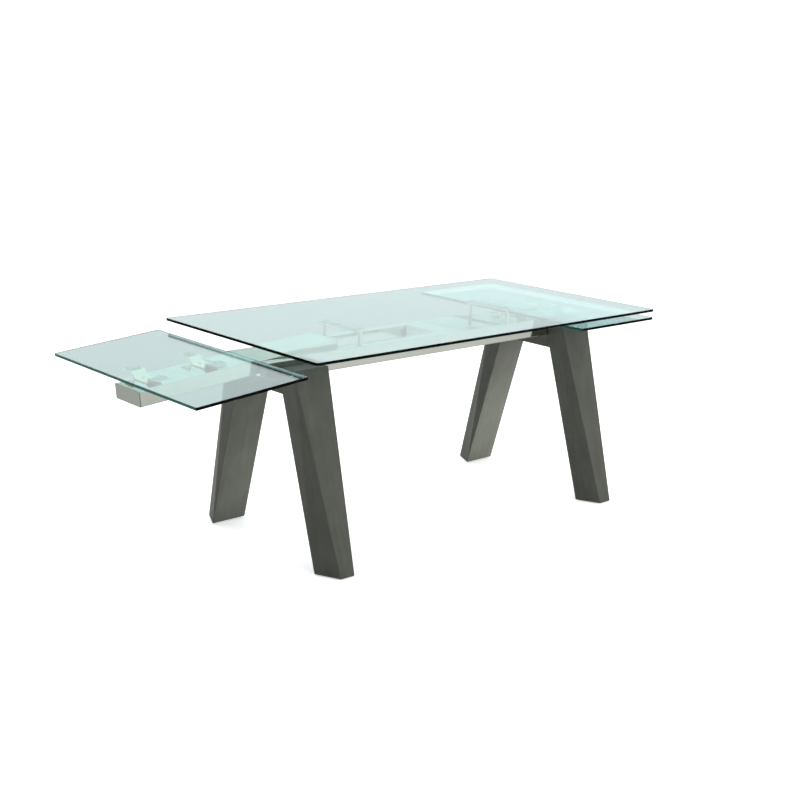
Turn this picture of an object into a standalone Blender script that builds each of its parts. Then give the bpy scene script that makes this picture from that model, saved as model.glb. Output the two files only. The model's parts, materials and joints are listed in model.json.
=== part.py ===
"""Extendable dining table: a glass top on two splayed trestles, with a sliding glass leaf at each end.

Metres, +Z up. X runs along the table, Y across it, and the floor is Z = 0. The origin is the centre of
the whole table's footprint, with the left leaf drawn out and the right leaf stowed under the top.
Each leaf sits on a rectangular tube that slides between two channelled rails. The tube runs over a
rocking saddle at the rails' mouth, while a roller pin near its inner end rides in the rails' grooves.
The play of that pin lets a drawn leaf lean down a little.
"""
import math

import bmesh
import bpy
from mathutils import Matrix, Vector

# ---------------------------------------------------------------- driving dimensions
GAP = 0.0003  # left between pieces that touch

TABLE_HEIGHT = 0.755
TOP_LENGTH = 1.600
TOP_DEPTH = 0.890
TOP_GLASS = 0.010
TOP_CORNER = 0.006

LEAF_LENGTH = 0.400
LEAF_GLASS = 0.010
LEAF_CORNER = 0.006
LEAF_STEP_DOWN = 0.0305  # from the top's upper face to a stowed leaf's upper face
LEAF_INSET = 0.002  # a stowed leaf's outer edge, inside the top's end
TRAVEL = 0.425
LEAN_AT_FULL = math.radians(5.15)
LEFT_DRAWN = 1.0  # share of the travel that the left leaf is drawn out
RIGHT_DRAWN = 0.0

RAIL_WIDTH = 0.038
RAIL_HEIGHT = 0.060
RAIL_WALL = 0.0025
RAIL_END_INSET = 0.042  # rail's end, inside the top's end
RAIL_CAP = 0.002
GROOVE_DEPTH = 0.010
GROOVE_SILL = 0.012  # solid lip below the groove

BEAM_WIDTH = 0.152
BEAM_HEIGHT = 0.050
BEAM_WALL = 0.0025
BEAM_SIDE_CLEARANCE = 0.006
BEAM_NOSE_INSET = 0.021  # nose of the beam, inside the leaf's outer edge
BEAM_CENTRE_CLEARANCE = 0.007  # a stowed beam's inner end, from the table's centre
CAP_PLATE = 0.003
CAP_PLUG = 0.008

GUIDE_PIN_FROM_END = 0.093
GUIDE_PIN_RADIUS = 0.003
GUIDE_ROLLER_RADIUS = 0.005
RUNNING_CLEARANCE = 0.0003

SADDLE_INSET = 0.012  # rocking axis of the saddle, inside the rail's end
SADDLE_LENGTH = 0.020
SADDLE_ROOM = 0.010  # from the beam's lower face to the rail's lower face
SADDLE_PIN_RADIUS = 0.0025

SUPPORT_HEIGHT = 0.0255  # from the beam's upper face to the leaf's lower face
SUPPORT_SPREAD = 0.210  # between the two supports of one leaf
SUPPORT_WIDTH = 0.048
SUPPORT_PLATE = 0.004
SUPPORT_BASE_HALF = 0.040
SUPPORT_WEB_RUN = 0.016
SUPPORT_REACH = 0.108
LEAF_PAD = 0.0015
LEAF_PAD_SIDE = 0.042

BRIDGE_WIDTH = 0.050
BRIDGE_PLATE = 0.006
BRIDGE_OVERHANG = 0.012  # past the posts' centres
BRIDGE_CLEARANCE = 0.016  # from the stowed leaf's inner edge
BRIDGE_PAD = 0.0015
BRIDGE_PAD_MARGIN = 0.005
POST_RADIUS = 0.007

TRESTLE_INSET = 0.164  # trestle's centre, inside the top's end
LEG_WIDTH = 0.140
LEG_DEPTH = 0.0915
LEG_TOE_WIDTH = 0.056
FOOT_INSET = 0.0445  # outer edge of the foot, inside the top's long edge
HEAD_BELOW_RAIL = 0.020
KNEE_RISE = 0.0353  # from the cross beam's lower face to where the leg turns upright
CROSS_BEAM_HEIGHT = 0.049

GLIDE_RADIUS = 0.018
GLIDE_HEIGHT = 0.003

BOLT_HEAD_RADIUS = 0.008
BOLT_HEAD_HEIGHT = 0.005
BOLT_RADIUS = 0.004
BOLT_STICK_UP = 0.008  # above the rail's lower wall

ROUND_SEGMENTS = 16

# ---------------------------------------------------------------- worked out from them
TOP_HALF = TOP_LENGTH / 2
TOP_UNDERSIDE = TABLE_HEIGHT - TOP_GLASS
LEAF_TOP = TABLE_HEIGHT - LEAF_STEP_DOWN
LEAF_UNDERSIDE = LEAF_TOP - LEAF_GLASS
LEAF_OUTER = TOP_HALF - LEAF_INSET
LEAF_INNER = LEAF_OUTER - LEAF_LENGTH
BEAM_TOP = LEAF_UNDERSIDE - SUPPORT_HEIGHT
BEAM_BOTTOM = BEAM_TOP - BEAM_HEIGHT
BEAM_NOSE = LEAF_OUTER - BEAM_NOSE_INSET
RAIL_BOTTOM = BEAM_BOTTOM - SADDLE_ROOM
RAIL_TOP = RAIL_BOTTOM + RAIL_HEIGHT
RAIL_INNER = BEAM_WIDTH / 2 + BEAM_SIDE_CLEARANCE
RAIL_OUTER = RAIL_INNER + RAIL_WIDTH
RAIL_MIDDLE = (RAIL_INNER + RAIL_OUTER) / 2
RAIL_END = TOP_HALF - RAIL_END_INSET
SADDLE_X = RAIL_END - SADDLE_INSET
SADDLE_TOP = BEAM_BOTTOM - RUNNING_CLEARANCE
SADDLE_BOTTOM = RAIL_BOTTOM + RUNNING_CLEARANCE
SADDLE_AXIS_Z = (SADDLE_TOP + SADDLE_BOTTOM) / 2
GUIDE_PIN_X = BEAM_CENTRE_CLEARANCE + GUIDE_PIN_FROM_END
GROOVE_BOTTOM = RAIL_BOTTOM + GROOVE_SILL
GUIDE_PIN_Z = GROOVE_BOTTOM + GUIDE_ROLLER_RADIUS + 2 * RUNNING_CLEARANCE
TRESTLE_X = TOP_HALF - TRESTLE_INSET
CROSS_BEAM_TOP = RAIL_BOTTOM - GAP
CROSS_BEAM_BOTTOM = CROSS_BEAM_TOP - CROSS_BEAM_HEIGHT
HEAD_TOP = RAIL_TOP - HEAD_BELOW_RAIL
HEAD_INNER = RAIL_OUTER + 2 * GAP
KNEE_Z = CROSS_BEAM_BOTTOM + KNEE_RISE
LEG_BOTTOM = GLIDE_HEIGHT + GAP
FOOT_OUTER = TOP_DEPTH / 2 - FOOT_INSET
FOOT_INNER = FOOT_OUTER - LEG_DEPTH
LEG_LEAN = (FOOT_INNER - HEAD_INNER) / (KNEE_Z - LEG_BOTTOM)  # run across for each unit of height
BRIDGE_X = LEAF_INNER - BRIDGE_CLEARANCE - BRIDGE_WIDTH / 2
BRIDGE_PAD_TOP = TOP_UNDERSIDE - GAP
BRIDGE_TOP = BRIDGE_PAD_TOP - BRIDGE_PAD - GAP
BRIDGE_BOTTOM = BRIDGE_TOP - BRIDGE_PLATE


def lean_at(drawn):
    """Angle that a beam leans at this share of its travel."""
    return LEAN_AT_FULL * drawn


def pin_rise(drawn):
    """How far the guide pin climbs in the groove at this share of the travel."""
    lever = SADDLE_X - GUIDE_PIN_X - TRAVEL * drawn
    return lever * math.tan(lean_at(drawn))


PIN_CLIMB = max(pin_rise(step / 100) for step in range(101))
GROOVE_TOP = GUIDE_PIN_Z + PIN_CLIMB + GUIDE_ROLLER_RADIUS + 4 * RUNNING_CLEARANCE


def reach_left(drawn):
    """Distance from the table's centre to the furthest point of a leaf at this share of its travel."""
    along = LEAF_OUTER + TRAVEL * drawn - SADDLE_X
    above = LEAF_TOP - SADDLE_AXIS_Z
    return SADDLE_X + along * math.cos(lean_at(drawn)) + above * math.sin(lean_at(drawn))


CENTRE_X = (max(reach_left(LEFT_DRAWN), TOP_HALF) - max(reach_left(RIGHT_DRAWN), TOP_HALF)) / 2


# ---------------------------------------------------------------- helpers
def clear_scene():
    for old in list(bpy.data.objects):
        bpy.data.objects.remove(old, do_unlink=True)


def make_material(name, colour, roughness, metallic=0.0, transmission=0.0):
    material = bpy.data.materials.new(name)
    material.use_nodes = True
    shader = material.node_tree.nodes["Principled BSDF"]
    shader.inputs["Base Color"].default_value = (*colour, 1.0)
    shader.inputs["Roughness"].default_value = roughness
    shader.inputs["Metallic"].default_value = metallic
    shader.inputs["Transmission Weight"].default_value = transmission
    return material


def make_empty(name, parent=None, location=(0, 0, 0), lean=0.0):
    empty = bpy.data.objects.new(name, None)
    bpy.context.scene.collection.objects.link(empty)
    empty.parent = parent
    empty.location = location
    empty.rotation_euler = (0, lean, 0)
    return empty


def make_object(name, bm, material, parent, location=(0, 0, 0), smooth=False):
    """One named object from a bmesh, with its normals facing out."""
    bmesh.ops.recalc_face_normals(bm, faces=bm.faces)
    mesh = bpy.data.meshes.new(name)
    bm.to_mesh(mesh)
    bm.free()
    mesh.materials.append(material)
    if smooth:
        mesh.shade_smooth()
        mesh.set_sharp_from_angle(angle=math.radians(40))
    made = bpy.data.objects.new(name, mesh)
    bpy.context.scene.collection.objects.link(made)
    made.parent = parent
    made.location = location
    return made


def box_bmesh(size, centre=(0, 0, 0)):
    bm = bmesh.new()
    bmesh.ops.create_cube(bm, size=1.0)
    bmesh.ops.scale(bm, vec=Vector(size), verts=bm.verts)
    bmesh.ops.translate(bm, vec=Vector(centre), verts=bm.verts)
    return bm


def plate_bmesh(length, depth, thickness, corner, corner_segments=4):
    """Flat plate with its upright corners rounded, centred on its own middle."""
    bm = box_bmesh((length, depth, thickness))
    upright = [e for e in bm.edges if abs((e.verts[0].co - e.verts[1].co).z) > thickness / 2]
    bmesh.ops.bevel(bm, geom=upright, offset=corner, segments=corner_segments, profile=0.5,
                    affect="EDGES")
    return bm


def prism_bmesh(outline, length):
    """Closed outline of (y, z) points, extruded by length along X about x = 0."""
    bm = bmesh.new()
    face = bm.faces.new([bm.verts.new((-length / 2, y, z)) for y, z in outline])
    extruded = bmesh.ops.extrude_face_region(bm, geom=[face])
    moved = [v for v in extruded["geom"] if isinstance(v, bmesh.types.BMVert)]
    bmesh.ops.translate(bm, vec=Vector((length, 0, 0)), verts=moved)
    return bm


def tube_bmesh(outer, inner, length):
    """Open tube along X between two outlines of (y, z) points with equal counts."""
    bm = bmesh.new()
    rings = []
    for x in (-length / 2, length / 2):
        rings.append([[bm.verts.new((x, y, z)) for y, z in ring] for ring in (outer, inner)])
    count = len(outer)
    for i in range(count):
        j = (i + 1) % count
        for ring in range(2):
            near, far = rings[0][ring], rings[1][ring]
            bm.faces.new((near[i], near[j], far[j], far[i]))
        for end in range(2):
            wide, narrow = rings[end]
            bm.faces.new((wide[i], wide[j], narrow[j], narrow[i]))
    return bm


def rod_bmesh(radius, length, axis, segments=ROUND_SEGMENTS):
    """Round rod centred on its own middle, along axis "Y" or "Z"."""
    bm = bmesh.new()
    turn = Matrix.Rotation(math.pi / 2, 4, "X") if axis == "Y" else Matrix.Identity(4)
    bmesh.ops.create_cone(bm, cap_ends=True, segments=segments, radius1=radius, radius2=radius,
                          depth=length, matrix=turn)
    return bm


def ring_bmesh(inner_radius, outer_radius, length, segments=ROUND_SEGMENTS):
    """Round ring about the Y axis, centred on its own middle."""
    profile = [(outer_radius, -length / 2), (outer_radius, length / 2),
               (inner_radius, length / 2), (inner_radius, -length / 2)]
    bm = bmesh.new()
    turns = []
    for i in range(segments):
        angle = math.tau * i / segments
        turns.append([bm.verts.new((r * math.cos(angle), y, r * math.sin(angle))) for r, y in profile])
    for i in range(segments):
        here, after = turns[i], turns[(i + 1) % segments]
        for j in range(len(profile)):
            k = (j + 1) % len(profile)
            bm.faces.new((here[j], here[k], after[k], after[j]))
    return bm


def stepped_cap_bmesh(width, height, plate, plug, wall, outward):
    """End plate for a tube along X with a plug that fits inside; its plate faces outward (+1 or -1)."""
    bm = box_bmesh((plate, width, height), (outward * plate / 2, 0, 0))
    bm.faces.ensure_lookup_table()
    inward = min(bm.faces, key=lambda f: outward * f.calc_center_median().x)
    bmesh.ops.inset_region(bm, faces=[inward], thickness=wall + RUNNING_CLEARANCE,
                           use_even_offset=True)
    raised = bmesh.ops.extrude_face_region(bm, geom=[inward])
    moved = [v for v in raised["geom"] if isinstance(v, bmesh.types.BMVert)]
    bmesh.ops.translate(bm, vec=Vector((-outward * plug, 0, 0)), verts=moved)
    bmesh.ops.delete(bm, geom=[inward], context="FACES")
    return bm


def cut(target, cutter_bm, location):
    """Takes a cutter's shape out of target, with a Boolean."""
    cutter = make_object(f"{target.name}_cutter_{len(target.modifiers)}", cutter_bm,
                         target.data.materials[0], target.parent, location)
    cutter.hide_render = True
    cutter.display_type = "WIRE"
    modifier = target.modifiers.new("cut", "BOOLEAN")
    modifier.operation = "DIFFERENCE"
    modifier.solver = "EXACT"
    modifier.object = cutter


# ---------------------------------------------------------------- the fixed table
def build_top(table, glass):
    bm = plate_bmesh(TOP_LENGTH, TOP_DEPTH, TOP_GLASS, TOP_CORNER)
    make_object("main_glass", bm, glass, table, (0, 0, TABLE_HEIGHT - TOP_GLASS / 2))


def rail_outlines(side):
    """Outer and inner outline of a rail: a box section whose inner face is grooved."""
    inner, outer = side * RAIL_INNER, side * RAIL_OUTER
    groove = side * (RAIL_INNER + GROOVE_DEPTH)
    back_wall = side * (RAIL_INNER + GROOVE_DEPTH + RAIL_WALL)
    front_wall = side * (RAIL_OUTER - RAIL_WALL)
    low, high = RAIL_BOTTOM + RAIL_WALL, RAIL_TOP - RAIL_WALL
    section = [(outer, RAIL_BOTTOM), (outer, RAIL_TOP), (inner, RAIL_TOP), (inner, GROOVE_TOP),
               (groove, GROOVE_TOP), (groove, GROOVE_BOTTOM), (inner, GROOVE_BOTTOM),
               (inner, RAIL_BOTTOM)]
    bore = [(front_wall, low), (front_wall, high), (back_wall, high), (back_wall, low)]
    return section, bore


def build_rail(name, side, table, steel):
    section, bore = rail_outlines(side)
    length = 2 * RAIL_END
    rail = make_object(name, prism_bmesh(section, length), steel, table)
    through = length + 4 * RAIL_CAP
    cut(rail, prism_bmesh(bore, through), (0, 0, 0))
    pin_hole = 2 * (GROOVE_DEPTH - RUNNING_CLEARANCE)
    bolt_hole = RAIL_WALL * 3
    for end in (-1, 1):
        hole = rod_bmesh(SADDLE_PIN_RADIUS + RUNNING_CLEARANCE, pin_hole, "Y")
        cut(rail, hole, (end * SADDLE_X, side * RAIL_INNER, SADDLE_AXIS_Z))
        hole = rod_bmesh(BOLT_RADIUS + RUNNING_CLEARANCE, bolt_hole, "Z")
        cut(rail, hole, (end * TRESTLE_X, side * RAIL_MIDDLE, RAIL_BOTTOM))
    for end, word in ((-1, "left"), (1, "right")):
        cap = box_bmesh((RAIL_CAP, RAIL_WIDTH, RAIL_HEIGHT))
        x = end * (RAIL_END + GAP + RAIL_CAP / 2)
        make_object(f"{name}_cap_{word}", cap, steel, table,
                    (x, side * RAIL_MIDDLE, (RAIL_TOP + RAIL_BOTTOM) / 2))


def leg_bmesh(side):
    """Splayed leg: full width at the head, tapering to a narrow toe, with a crease down each side face."""
    bm = bmesh.new()
    foot_outer_at_head = FOOT_OUTER - LEG_LEAN * (HEAD_TOP - LEG_BOTTOM)
    half, toe_half = LEG_WIDTH / 2, LEG_TOE_WIDTH / 2
    places = {"heel": (half, FOOT_INNER, LEG_BOTTOM), "knee": (half, HEAD_INNER, KNEE_Z),
              "head": (half, HEAD_INNER, HEAD_TOP), "brow": (half, foot_outer_at_head, HEAD_TOP),
              "toe": (toe_half, FOOT_OUTER, LEG_BOTTOM)}
    left = {key: bm.verts.new((-x, side * y, z)) for key, (x, y, z) in places.items()}
    right = {key: bm.verts.new((x, side * y, z)) for key, (x, y, z) in places.items()}
    for face in (left, right):
        bm.faces.new([face[key] for key in ("heel", "knee", "head", "brow")])
        bm.faces.new([face[key] for key in ("heel", "brow", "toe")])
    around = ("heel", "knee", "head", "brow", "toe")
    for i, key in enumerate(around):
        after = around[(i + 1) % len(around)]
        bm.faces.new((left[key], left[after], right[after], right[key]))
    return bm


def cross_beam_bmesh():
    """Beam between a trestle's legs, its ends cut to their inner faces."""
    slack = 2 * GAP
    low = HEAD_INNER + LEG_LEAN * (KNEE_Z - CROSS_BEAM_BOTTOM) - slack
    high = HEAD_INNER - slack
    half = [(low, CROSS_BEAM_BOTTOM), (high, KNEE_Z), (high, CROSS_BEAM_TOP)]
    return prism_bmesh(half + [(-y, z) for y, z in reversed(half)], LEG_WIDTH)


def bolt_bmesh():
    """Cap bolt standing on its head, whose seat is at z = 0."""
    shank = CROSS_BEAM_HEIGHT + GAP + RAIL_WALL + BOLT_STICK_UP
    bm = rod_bmesh(BOLT_HEAD_RADIUS, BOLT_HEAD_HEIGHT, "Z")
    bmesh.ops.translate(bm, vec=Vector((0, 0, -BOLT_HEAD_HEIGHT / 2)), verts=bm.verts)
    seat = max(bm.faces, key=lambda f: f.calc_center_median().z)
    flat_share = math.cos(math.pi / ROUND_SEGMENTS)
    bmesh.ops.inset_region(bm, faces=[seat], use_even_offset=True,
                           thickness=(BOLT_HEAD_RADIUS - BOLT_RADIUS) * flat_share)
    raised = bmesh.ops.extrude_face_region(bm, geom=[seat])
    moved = [v for v in raised["geom"] if isinstance(v, bmesh.types.BMVert)]
    bmesh.ops.translate(bm, vec=Vector((0, 0, shank)), verts=moved)
    bmesh.ops.delete(bm, geom=[seat], context="FACES")
    return bm


def build_trestle(word, end, table, finishes):
    x = end * TRESTLE_X
    beam = make_object(f"{word}_cross_beam", cross_beam_bmesh(), finishes["leg"], table, (x, 0, 0))
    for side_word, side in (("front", -1), ("back", 1)):
        make_object(f"{side_word}_{word}_leg", leg_bmesh(side), finishes["leg"], table, (x, 0, 0))
        foot_middle = side * (FOOT_INNER + FOOT_OUTER) / 2
        make_object(f"{side_word}_{word}_glide", rod_bmesh(GLIDE_RADIUS, GLIDE_HEIGHT, "Z"),
                    finishes["rubber"], table, (x, foot_middle, GLIDE_HEIGHT / 2), smooth=True)
        bolt_y = side * RAIL_MIDDLE
        hole = rod_bmesh(BOLT_RADIUS + RUNNING_CLEARANCE, 2 * CROSS_BEAM_HEIGHT, "Z")
        cut(beam, hole, (x, bolt_y, (CROSS_BEAM_TOP + CROSS_BEAM_BOTTOM) / 2))
        make_object(f"{side_word}_{word}_bolt", bolt_bmesh(), finishes["steel"], table,
                    (x, bolt_y, CROSS_BEAM_BOTTOM - GAP), smooth=True)


def build_bridge(word, end, table, finishes):
    """Plate on two posts that carries the top glass across the rails."""
    reach = 2 * (RAIL_MIDDLE + BRIDGE_OVERHANG)
    x = end * BRIDGE_X
    bridge = plate_bmesh(BRIDGE_WIDTH, reach, BRIDGE_PLATE, BRIDGE_OVERHANG / 2, 2)
    make_object(f"{word}_bridge", bridge, finishes["steel"], table,
                (x, 0, BRIDGE_BOTTOM + BRIDGE_PLATE / 2))
    pad = box_bmesh((BRIDGE_WIDTH - 2 * BRIDGE_PAD_MARGIN, reach - 2 * BRIDGE_OVERHANG, BRIDGE_PAD))
    make_object(f"{word}_bridge_pad", pad, finishes["pad"], table,
                (x, 0, BRIDGE_PAD_TOP - BRIDGE_PAD / 2))
    low, high = RAIL_TOP + GAP, BRIDGE_BOTTOM - GAP
    for side_word, side in (("front", -1), ("back", 1)):
        make_object(f"{side_word}_{word}_post", rod_bmesh(POST_RADIUS, high - low, "Z"),
                    finishes["steel"], table, (x, side * RAIL_MIDDLE, (low + high) / 2), smooth=True)


# ---------------------------------------------------------------- a sliding leaf
def support_bmesh():
    """Bent plate along Y: a base on the beam, two sloping webs, and a flange under each pad."""
    top = LEAF_UNDERSIDE - 2 * GAP - LEAF_PAD - BEAM_TOP - GAP
    low_half = SUPPORT_BASE_HALF
    high_half = SUPPORT_BASE_HALF + SUPPORT_WEB_RUN
    web_shift = SUPPORT_PLATE
    under = [(low_half, 0), (high_half, top - SUPPORT_PLATE), (SUPPORT_REACH, top - SUPPORT_PLATE)]
    over = [(SUPPORT_REACH, top), (high_half - web_shift, top), (low_half - web_shift, SUPPORT_PLATE)]
    half = under + over
    return prism_bmesh(half + [(-y, z) for y, z in reversed(half)], SUPPORT_WIDTH)


def build_beam(word, end, slider, place, finishes):
    length = BEAM_NOSE - BEAM_CENTRE_CLEARANCE - 2 * (CAP_PLATE + GAP)
    middle_x = (BEAM_NOSE + BEAM_CENTRE_CLEARANCE) / 2
    half_w, half_h = BEAM_WIDTH / 2, BEAM_HEIGHT / 2
    outer = [(-half_w, -half_h), (half_w, -half_h), (half_w, half_h), (-half_w, half_h)]
    inner = [(math.copysign(abs(y) - BEAM_WALL, y), math.copysign(abs(z) - BEAM_WALL, z))
             for y, z in outer]
    middle_z = (BEAM_TOP + BEAM_BOTTOM) / 2
    beam = make_object(f"{word}_beam", tube_bmesh(outer, inner, length), finishes["steel"], slider,
                       place(middle_x, 0, middle_z))
    hole = rod_bmesh(GUIDE_PIN_RADIUS + RUNNING_CLEARANCE, 2 * BEAM_WIDTH, "Y")
    cut(beam, hole, place(GUIDE_PIN_X, 0, GUIDE_PIN_Z))
    caps = (("nose", BEAM_NOSE - CAP_PLATE, end, "steel"),
            ("inner", BEAM_CENTRE_CLEARANCE + CAP_PLATE, -end, "nylon"))
    for cap_word, x, outward, finish in caps:
        cap = stepped_cap_bmesh(BEAM_WIDTH, BEAM_HEIGHT, CAP_PLATE, CAP_PLUG, BEAM_WALL, outward)
        make_object(f"{word}_{cap_word}_cap", cap, finishes[finish], slider, place(x, 0, middle_z))


def build_guide_pin(word, slider, place, finishes):
    reach = RAIL_INNER + GROOVE_DEPTH - 3 * RUNNING_CLEARANCE
    pin = rod_bmesh(GUIDE_PIN_RADIUS, 2 * reach, "Y")
    make_object(f"{word}_guide_pin", pin, finishes["steel"], slider,
                place(GUIDE_PIN_X, 0, GUIDE_PIN_Z), smooth=True)
    near, far = RAIL_INNER + RUNNING_CLEARANCE, reach
    for side_word, side in (("front", -1), ("back", 1)):
        roller = ring_bmesh(GUIDE_PIN_RADIUS + RUNNING_CLEARANCE, GUIDE_ROLLER_RADIUS, far - near)
        make_object(f"{side_word}_{word}_roller", roller, finishes["nylon"], slider,
                    place(GUIDE_PIN_X, side * (near + far) / 2, GUIDE_PIN_Z), smooth=True)


def build_leaf(word, slider, place, finishes):
    middle_x = (LEAF_OUTER + LEAF_INNER) / 2
    leaf = plate_bmesh(LEAF_LENGTH, TOP_DEPTH, LEAF_GLASS, LEAF_CORNER)
    make_object(f"{word}_leaf_glass", leaf, finishes["glass"], slider,
                place(middle_x, 0, LEAF_TOP - LEAF_GLASS / 2))
    pad_y = (SUPPORT_REACH + SUPPORT_BASE_HALF + SUPPORT_WEB_RUN) / 2
    for support_word, shift in (("inner", -SUPPORT_SPREAD / 2), ("outer", SUPPORT_SPREAD / 2)):
        x = middle_x + shift
        make_object(f"{word}_{support_word}_support", support_bmesh(), finishes["steel"], slider,
                    place(x, 0, BEAM_TOP + GAP))
        for side_word, side in (("front", -1), ("back", 1)):
            pad = plate_bmesh(LEAF_PAD_SIDE, LEAF_PAD_SIDE, LEAF_PAD, LEAF_PAD_SIDE / 5, 2)
            make_object(f"{side_word}_{word}_{support_word}_pad", pad, finishes["pad"], slider,
                        place(x, side * pad_y, LEAF_UNDERSIDE - GAP - LEAF_PAD / 2))


def build_saddle(word, rocker, finishes):
    """Block under the beam at the rails' mouth, which rocks on a pin held in both rails."""
    width = 2 * (RAIL_INNER - 2 * RUNNING_CLEARANCE)
    saddle = make_object(f"{word}_saddle",
                         box_bmesh((SADDLE_LENGTH, width, SADDLE_TOP - SADDLE_BOTTOM)),
                         finishes["nylon"], rocker)
    cut(saddle, rod_bmesh(SADDLE_PIN_RADIUS + RUNNING_CLEARANCE, 2 * width, "Y"), (0, 0, 0))
    reach = RAIL_INNER + GROOVE_DEPTH - 5 * RUNNING_CLEARANCE
    make_object(f"{word}_saddle_pin", rod_bmesh(SADDLE_PIN_RADIUS, 2 * reach, "Y"),
                finishes["steel"], rocker, smooth=True)


def build_side(word, end, drawn, table, finishes):
    """Everything that rocks and slides at one end of the table; end is -1 on the left, +1 on the right."""
    rocker = make_empty(f"{word}_lean_axis", table, (end * SADDLE_X, 0, SADDLE_AXIS_Z),
                        end * lean_at(drawn))
    slider = make_empty(f"{word}_slide", rocker, (end * TRAVEL * drawn, 0, 0))

    def place(x, y, z):
        """Place on the slider of a point given where the leaf is stowed, x measured outwards."""
        return (end * (x - SADDLE_X), y, z - SADDLE_AXIS_Z)

    build_saddle(word, rocker, finishes)
    build_beam(word, end, slider, place, finishes)
    build_guide_pin(word, slider, place, finishes)
    build_leaf(word, slider, place, finishes)


def main():
    clear_scene()
    finishes = {
        "glass": make_material("clear_glass", (0.86, 0.95, 0.94), 0.02, transmission=1.0),
        "steel": make_material("polished_steel", (0.80, 0.79, 0.76), 0.12, metallic=1.0),
        "leg": make_material("grey_veneer", (0.12, 0.12, 0.105), 0.42),
        "nylon": make_material("white_nylon", (0.80, 0.80, 0.77), 0.45),
        "rubber": make_material("black_rubber", (0.02, 0.02, 0.02), 0.8),
        "pad": make_material("clear_pad", (0.85, 0.88, 0.86), 0.3),
    }
    table = make_empty("table", location=(CENTRE_X, 0, 0))
    build_top(table, finishes["glass"])
    build_rail("front_rail", -1, table, finishes["steel"])
    build_rail("back_rail", 1, table, finishes["steel"])
    for word, end, drawn in (("left", -1, LEFT_DRAWN), ("right", 1, RIGHT_DRAWN)):
        build_trestle(word, end, table, finishes)
        build_bridge(word, end, table, finishes)
        build_side(word, end, drawn, table, finishes)


main()
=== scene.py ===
"""Extendable dining table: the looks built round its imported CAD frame.

Metres, +Z up, X along the table. The left leaf is drawn out and leans down a little at rest, so the
pieces of each body are modelled in that body's own axes, where everything is square, and then turned.
"""
import json
import math

import bmesh
import bpy
from mathutils import Matrix, Vector

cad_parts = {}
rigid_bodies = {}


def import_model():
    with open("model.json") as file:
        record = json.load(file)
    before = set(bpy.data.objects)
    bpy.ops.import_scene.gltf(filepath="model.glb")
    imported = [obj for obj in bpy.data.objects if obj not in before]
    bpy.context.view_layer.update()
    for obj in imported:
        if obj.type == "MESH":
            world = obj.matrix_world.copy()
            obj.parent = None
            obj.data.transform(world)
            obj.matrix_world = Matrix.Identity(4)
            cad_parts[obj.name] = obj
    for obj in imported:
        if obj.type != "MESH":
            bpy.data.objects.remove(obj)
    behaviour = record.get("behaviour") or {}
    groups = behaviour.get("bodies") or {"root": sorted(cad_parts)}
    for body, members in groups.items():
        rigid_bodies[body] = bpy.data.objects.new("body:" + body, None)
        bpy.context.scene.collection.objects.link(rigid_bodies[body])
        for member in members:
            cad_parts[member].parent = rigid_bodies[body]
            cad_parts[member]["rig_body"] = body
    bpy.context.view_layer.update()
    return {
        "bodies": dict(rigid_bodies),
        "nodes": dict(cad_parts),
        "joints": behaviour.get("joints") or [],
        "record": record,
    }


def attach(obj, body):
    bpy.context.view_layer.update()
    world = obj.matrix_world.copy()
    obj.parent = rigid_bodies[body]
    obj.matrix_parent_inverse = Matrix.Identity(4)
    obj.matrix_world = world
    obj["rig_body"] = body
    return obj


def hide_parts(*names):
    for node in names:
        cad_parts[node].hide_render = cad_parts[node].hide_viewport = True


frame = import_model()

# ---------------------------------------------------------------- shape details, in metres
GLASS_CORNER = 0.006
GLASS_CORNER_STEPS = 8
GLASS_ARRIS = 0.0011
LEG_EASING = 0.0016
GLIDE_LIP_SHARE = 0.35

TUBE_CORNER = 0.003
TUBE_WALL = 0.0025
TUBE_BORE_CORNER = 0.0009
GROOVE_DEPTH = 0.010
GROOVE_SILL = 0.012
GROOVE_LIP = 0.0006
PLATE_EASING = 0.0006
BRIDGE_EASING = 0.001
PAD_EASING = 0.0003
BEND_EASING = 0.0016
SADDLE_EASING = 0.0015
PIN_CHAMFER = 0.0005
ROLLER_CHAMFER = 0.0007
CAP_PLATE = 0.003
CAP_PLUG = 0.008
CAP_SLACK = 0.0003

POST_FOOT_RADIUS = 0.0105
POST_FOOT_HEIGHT = 0.0022
POST_FOOT_EASING = 0.0005
POST_EASING = 0.0006
SCREW_RADIUS = 0.0052
SCREW_HEIGHT = 0.0026
SCREW_OFF_CENTRE = 0.022
SUPPORT_BASE_THICKNESS = 0.004
SOCKET_RADIUS = 0.0024
SOCKET_DEPTH = 0.0016
BOLT_SHANK_RADIUS = 0.004
BOLT_HEAD_HEIGHT = 0.005
BOLT_EASING = 0.001
BUTTON_RADIUS = 0.014
BUTTON_EASING = 0.0004
BUMPER_RADIUS = 0.006
BUMPER_HEIGHT = 0.0022
BUMPER_FROM_END = 0.024
BUMPER_FROM_SIDE = 0.055

# ---------------------------------------------------------------- mesh fineness
ROUND = 40
SMALL_ROUND = 24
WELD = 1e-5
FLAT_ANGLE = math.radians(5)
COPLANAR_ANGLE = math.radians(1)
SMOOTH_ANGLE = math.radians(32)
RIM_ANGLE = math.radians(60)
FACES_UP = 0.3
FACES_ALONG = 0.8

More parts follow.
